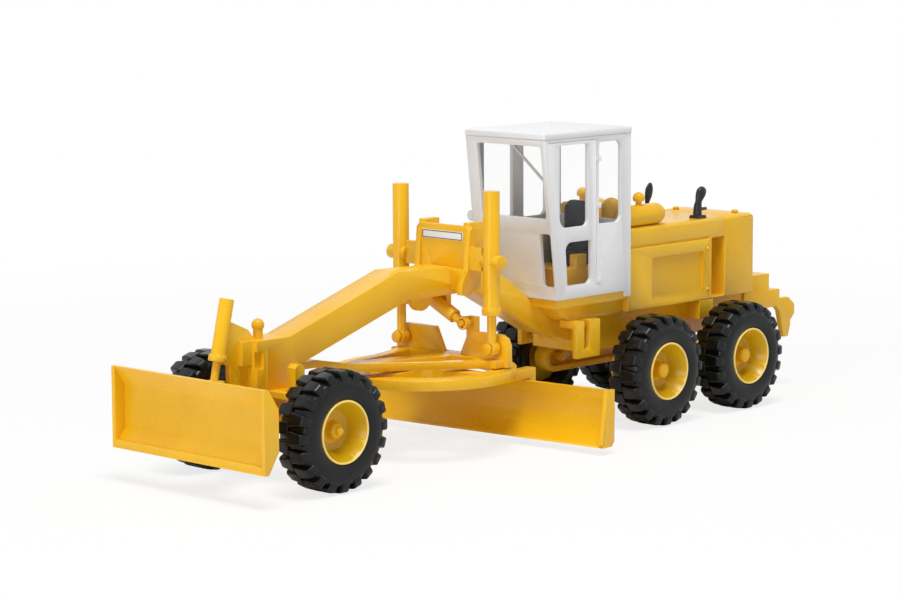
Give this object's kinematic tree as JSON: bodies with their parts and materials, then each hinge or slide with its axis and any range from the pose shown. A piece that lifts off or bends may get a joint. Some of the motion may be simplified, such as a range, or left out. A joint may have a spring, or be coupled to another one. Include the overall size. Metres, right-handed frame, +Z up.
{
  "type": "scale-model motor grader",
  "caption": "Plastic scale model of a motor grader with gooseneck boom, turning circle and blade, front plough blade, white cab, tandem rear wheels and steered front wheels",
  "frame": {"origin": "on the ground under the middle of the model's overall box", "axes": "+X forward, +Y to the machine's left, +Z up"},
  "size_m": [0.1164, 0.0423, 0.0414],
  "materials": {
    "yellow_plastic": "satin moulded plastic",
    "white_plastic": "satin moulded plastic",
    "tyre_rubber": "matt soft vinyl",
    "seat_grey": "matt",
    "black_plastic": "satin",
    "clear_plastic": "clear moulding"
  },
  "bodies": {
    "frame": {"main_boom": "yellow_plastic", "saddle_bracket": "yellow_plastic", "number_plate": "white_plastic", "front_axle": "yellow_plastic", "plough_cylinder": "yellow_plastic", "lift_cylinder_left": "yellow_plastic", "lift_cylinder_right": "yellow_plastic", "chassis": "yellow_plastic", "tandem_case_left": "yellow_plastic", "tandem_case_right": "yellow_plastic", "cab_front": "white_plastic", "cab_back": "white_plastic", "cab_side_left": "white_plastic", "cab_side_right": "white_plastic", "cab_roof": "white_plastic", "cab_floor": "yellow_plastic", "cab_windows": "clear_plastic", "seat": "seat_grey", "steering_console": "yellow_plastic", "hood": "yellow_plastic", "radiator_housing": "yellow_plastic", "air_canisters": "yellow_plastic", "precleaner": "yellow_plastic", "stacks": "black_plastic", "filler_caps": "yellow_plastic"},
    "drawbar": {"drawbar": "yellow_plastic"},
    "circle": {"circle": "yellow_plastic", "main_blade": "yellow_plastic"},
    "lift_rod_left": {"lift_rod_left": "yellow_plastic"},
    "lift_rod_right": {"lift_rod_right": "yellow_plastic"},
    "side_cylinder": {"side_cylinder": "yellow_plastic"},
    "side_rod": {"side_rod": "yellow_plastic"},
    "plough": {"plough_blade": "yellow_plastic", "plough_frame": "yellow_plastic"},
    "knuckle_left": {"knuckle_left": "yellow_plastic"},
    "knuckle_right": {"knuckle_right": "yellow_plastic"},
    "tie_rod": {"tie_rod": "yellow_plastic"},
    "wheel_front_left": {"tyre_front_left": "tyre_rubber", "rim_front_left": "yellow_plastic"},
    "wheel_front_right": {"tyre_front_right": "tyre_rubber", "rim_front_right": "yellow_plastic"},
    "wheel_middle_left": {"tyre_middle_left": "tyre_rubber", "rim_middle_left": "yellow_plastic"},
    "wheel_middle_right": {"tyre_middle_right": "tyre_rubber", "rim_middle_right": "yellow_plastic"},
    "wheel_rear_left": {"tyre_rear_left": "tyre_rubber", "rim_rear_left": "yellow_plastic"},
    "wheel_rear_right": {"tyre_rear_right": "tyre_rubber", "rim_rear_right": "yellow_plastic"}
  },
  "joints": [
    {"name": "drawbar_lift", "type": "hinge", "parent": "frame", "child": "drawbar", "pos_m": [0.04036, 0, 0.014], "axis": [0, 1, 0], "range_deg": [-1, 3.5]},
    {"name": "circle_turn", "type": "hinge", "parent": "drawbar", "child": "circle", "pos_m": [0.01626, 0, 0.0098], "axis": [0, 0, 1], "range_deg": [-40, 30]},
    {"name": "lift_rod_left_slide", "type": "slide", "parent": "frame", "child": "lift_rod_left", "axis": [0, 0, 1], "range_m": [-0.0005, 0.00176]},
    {"name": "lift_rod_right_slide", "type": "slide", "parent": "frame", "child": "lift_rod_right", "axis": [0, 0, 1], "range_m": [-0.0005, 0.00176]},
    {"name": "side_cylinder_swing", "type": "hinge", "parent": "frame", "child": "side_cylinder", "pos_m": [0.01256, -0.0012, 0.0192], "axis": [1, 0, 0], "range_deg": [-5.23, 18.3]},
    {"name": "side_rod_slide", "type": "slide", "parent": "side_cylinder", "child": "side_rod", "axis": [0, 0.9018, -0.4321], "range_m": [-0.000565, 0.000162]},
    {"name": "plough_lift", "type": "slide", "parent": "frame", "child": "plough", "axis": [-0.2272, 0, 0.9738], "range_m": [-0.004, 0.0016]},
    {"name": "steer_left", "type": "hinge", "parent": "frame", "child": "knuckle_left", "pos_m": [0.04426, 0.00655, 0.00775], "axis": [0, 0, 1], "range_deg": [-25, 25]},
    {"name": "steer_right", "type": "hinge", "parent": "frame", "child": "knuckle_right", "pos_m": [0.04426, -0.00655, 0.00775], "axis": [0, 0, 1], "range_deg": [-25, 25]},
    {"name": "tie_rod_pivot", "type": "hinge", "parent": "knuckle_left", "child": "tie_rod", "pos_m": [0.04066, 0.00655, 0.00775], "axis": [0, 0, 1], "range_deg": [-26, 26]},
    {"name": "spin_front_left", "type": "hinge", "parent": "knuckle_left", "child": "wheel_front_left", "pos_m": [0.04426, 0.01116, 0.00775], "axis": [0, 1, 0], "continuous": true},
    {"name": "spin_front_right", "type": "hinge", "parent": "knuckle_right", "child": "wheel_front_right", "pos_m": [0.04426, -0.01116, 0.00775], "axis": [0, 1, 0], "continuous": true},
    {"name": "spin_middle_left", "type": "hinge", "parent": "frame", "child": "wheel_middle_left", "pos_m": [-0.01836, 0.01116, 0.00775], "axis": [0, 1, 0], "continuous": true},
    {"name": "spin_middle_right", "type": "hinge", "parent": "frame", "child": "wheel_middle_right", "pos_m": [-0.01836, -0.01116, 0.00775], "axis": [0, 1, 0], "continuous": true},
    {"name": "spin_rear_left", "type": "hinge", "parent": "frame", "child": "wheel_rear_left", "pos_m": [-0.03669, 0.01116, 0.00775], "axis": [0, 1, 0], "continuous": true},
    {"name": "spin_rear_right", "type": "hinge", "parent": "frame", "child": "wheel_rear_right", "pos_m": [-0.03669, -0.01116, 0.00775], "axis": [0, 1, 0], "continuous": true}
  ],
  "couplings": [
    {"joint": "lift_rod_left_slide", "follows": "drawbar_lift", "m_per_rad": 0.0282},
    {"joint": "lift_rod_right_slide", "follows": "drawbar_lift", "m_per_rad": 0.0282},
    {"joint": "side_cylinder_swing", "follows": "drawbar_lift", "ratio": 5.1257},
    {"joint": "side_rod_slide", "follows": "drawbar_lift", "m_per_rad": -0.009055},
    {"joint": "steer_right", "follows": "steer_left", "ratio": 1},
    {"joint": "tie_rod_pivot", "follows": "steer_left", "ratio": -1}
  ]
}
